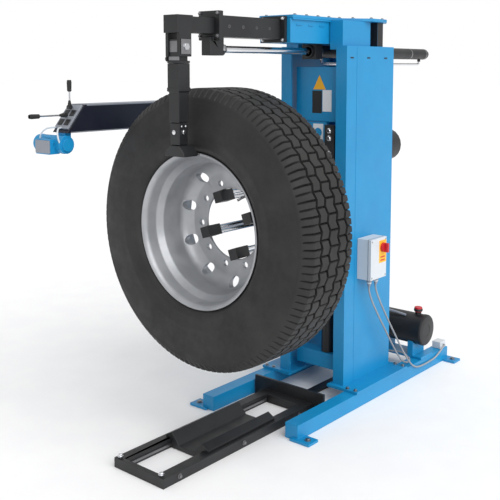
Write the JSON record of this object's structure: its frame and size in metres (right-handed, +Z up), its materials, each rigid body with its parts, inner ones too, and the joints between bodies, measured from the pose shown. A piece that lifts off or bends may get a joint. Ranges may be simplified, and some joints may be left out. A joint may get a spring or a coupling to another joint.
{
  "type": "truck tyre changer",
  "caption": "Upright truck tyre changer with a lifting wheel chuck between two columns, a sliding tool arm on top, a floor track and a swinging control boom.",
  "frame": {"origin": "on the floor, on the machine's middle plane, midway between the front and back of the columns", "axes": "+Z up, -Y towards the clamped wheel and the operator, +X towards the column with the switch box"},
  "size_m": [1.265, 2.031, 1.674],
  "materials": {
    "blue_paint": "gloss enamel",
    "black_paint": "satin enamel",
    "navy_paint": "satin enamel",
    "grey_plastic": "satin",
    "red_plastic": "satin",
    "chrome_steel": "polished",
    "bare_steel": "machined",
    "silver_rim": "painted silver",
    "black_rubber": "matte",
    "drive_rubber": "matte"
  },
  "bodies": {
    "machine": {"apron_plate": "blue_paint", "arm_barrel": "black_paint", "arm_housing": "blue_paint", "arm_pipe": "chrome_steel", "barrel_block_front": "black_paint", "barrel_block_rear": "black_paint", "base_rail_left": "blue_paint", "base_rail_right": "blue_paint", "column_left": "blue_paint", "column_right": "blue_paint", "console_bracket": "blue_paint", "floor_track": "black_paint", "housing_cover": "blue_paint", "lift_barrel": "black_paint", "lower_tie": "blue_paint", "motor_lead": "grey_plastic", "oil_tank": "black_paint", "pump_motor": "black_paint", "supply_inlet": "grey_plastic", "supply_lead": "grey_plastic", "switch_box": "grey_plastic", "tank_cradle": "blue_paint", "wear_frame_front": "black_paint", "wear_frame_rear": "black_paint"},
    "cradle": {"wheel_cradle": "black_paint"},
    "carriage": {"belt_cover": "blue_paint", "carriage_frame": "blue_paint", "drive_belt": "drive_rubber", "drive_motor": "black_paint", "guide_block_left": "black_paint", "guide_block_right": "black_paint", "lift_rod": "chrome_steel", "spindle_bearing": "bare_steel"},
    "motor_drive": {"motor_pulley": "bare_steel"},
    "spindle": {"chuck_body": "black_paint", "spindle_pulley": "bare_steel", "spindle_shaft": "bare_steel", "tyre": "black_rubber", "wheel_rim": "silver_rim"},
    "clamp_1": {"jaw_1": "black_paint"},
    "clamp_2": {"jaw_2": "black_paint"},
    "clamp_3": {"jaw_3": "black_paint"},
    "clamp_4": {"jaw_4": "black_paint"},
    "arm": {"arm_collar": "black_paint", "arm_fork": "black_paint", "arm_rod": "chrome_steel", "tilt_pin": "chrome_steel", "tool_arm": "black_paint"},
    "tool_head": {"tilt_block": "black_paint"},
    "tool": {"tool_holder": "black_paint", "tool_post": "black_paint", "tool_shoe": "bare_steel"},
    "console_arm": {"console_link": "black_paint"},
    "boom": {"boom_unit": "blue_paint", "console_boom": "navy_paint", "control_panel": "grey_plastic"},
    "lever_up": {"lever_upright": "black_paint"},
    "lever_out": {"lever_forward": "black_paint"},
    "switch_knob": {"main_switch_knob": "red_plastic"},
    "cap": {"filler_cap": "red_plastic"}
  },
  "joints": [
    {"name": "carriage_lift", "type": "slide", "parent": "machine", "child": "carriage", "axis": [0, 0, 1], "range_m": [-0.15, 0.1]},
    {"name": "spindle_spin", "type": "hinge", "parent": "carriage", "child": "spindle", "pos_m": [0, -0.795, 0.848], "axis": [0, 1, 0], "continuous": true},
    {"name": "motor_spin", "type": "hinge", "parent": "carriage", "child": "motor_drive", "pos_m": [0, 0.19, 1.086], "axis": [0, 1, 0], "continuous": true},
    {"name": "arm_slide", "type": "slide", "parent": "machine", "child": "arm", "axis": [0, -1, 0], "range_m": [0, 0.2]},
    {"name": "tool_tilt", "type": "hinge", "parent": "arm", "child": "tool_head", "pos_m": [0, -1.01, 1.535], "axis": [-1, 0, 0], "range_deg": [0, 90]},
    {"name": "tool_turn", "type": "hinge", "parent": "tool_head", "child": "tool", "pos_m": [0, -1.01, 1.4765], "axis": [0, 0, 1], "range_deg": [0, 180]},
    {"name": "console_link_swing", "type": "hinge", "parent": "machine", "child": "console_arm", "pos_m": [-0.24, -0.11, 1.12], "axis": [0, 0, -1], "range_deg": [0, 60]},
    {"name": "console_boom_swing", "type": "hinge", "parent": "console_arm", "child": "boom", "pos_m": [-0.6035, -0.13, 1.2], "axis": [0, 0, -1], "range_deg": [0, 70]},
    {"name": "lever_upright_tilt", "type": "hinge", "parent": "boom", "child": "lever_up", "pos_m": [-0.604, -1.034, 1.301], "axis": [1, 0, 0], "range_deg": [-12, 12], "stiffness_Nm_per_rad": 1},
    {"name": "lever_forward_tilt", "type": "hinge", "parent": "boom", "child": "lever_out", "pos_m": [-0.604, -1.059, 1.27], "axis": [1, 0, 0], "range_deg": [-12, 12], "stiffness_Nm_per_rad": 3},
    {"name": "main_switch_turn", "type": "hinge", "parent": "machine", "child": "switch_knob", "pos_m": [0.246, 0.004, 0.672], "axis": [1, 0, 0], "range_deg": [0, 90]},
    {"name": "filler_cap_turn", "type": "hinge", "parent": "machine", "child": "cap", "pos_m": [0.205, 0.411, 0.2815], "axis": [0, 0, 1], "range_deg": [0, 300]},
    {"name": "cradle_slide", "type": "slide", "parent": "machine", "child": "cradle", "axis": [0, 1, 0], "range_m": [-0.22, 0.18]},
    {"name": "jaw_1_slide", "type": "slide", "parent": "spindle", "child": "clamp_1", "axis": [-0.9397, 0, -0.342], "range_m": [0, 0.03]},
    {"name": "jaw_2_slide", "type": "slide", "parent": "spindle", "child": "clamp_2", "axis": [0.342, 0, -0.9397], "range_m": [0, 0.03]},
    {"name": "jaw_3_slide", "type": "slide", "parent": "spindle", "child": "clamp_3", "axis": [0.9397, 0, 0.342], "range_m": [0, 0.03]},
    {"name": "jaw_4_slide", "type": "slide", "parent": "spindle", "child": "clamp_4", "axis": [-0.342, 0, 0.9397], "range_m": [0, 0.03]}
  ],
  "couplings": [
    {"joint": "motor_spin", "follows": "spindle_spin", "ratio": 2},
    {"joint": "jaw_2_slide", "follows": "jaw_1_slide", "ratio": 1},
    {"joint": "jaw_3_slide", "follows": "jaw_1_slide", "ratio": 1},
    {"joint": "jaw_4_slide", "follows": "jaw_1_slide", "ratio": 1}
  ]
}
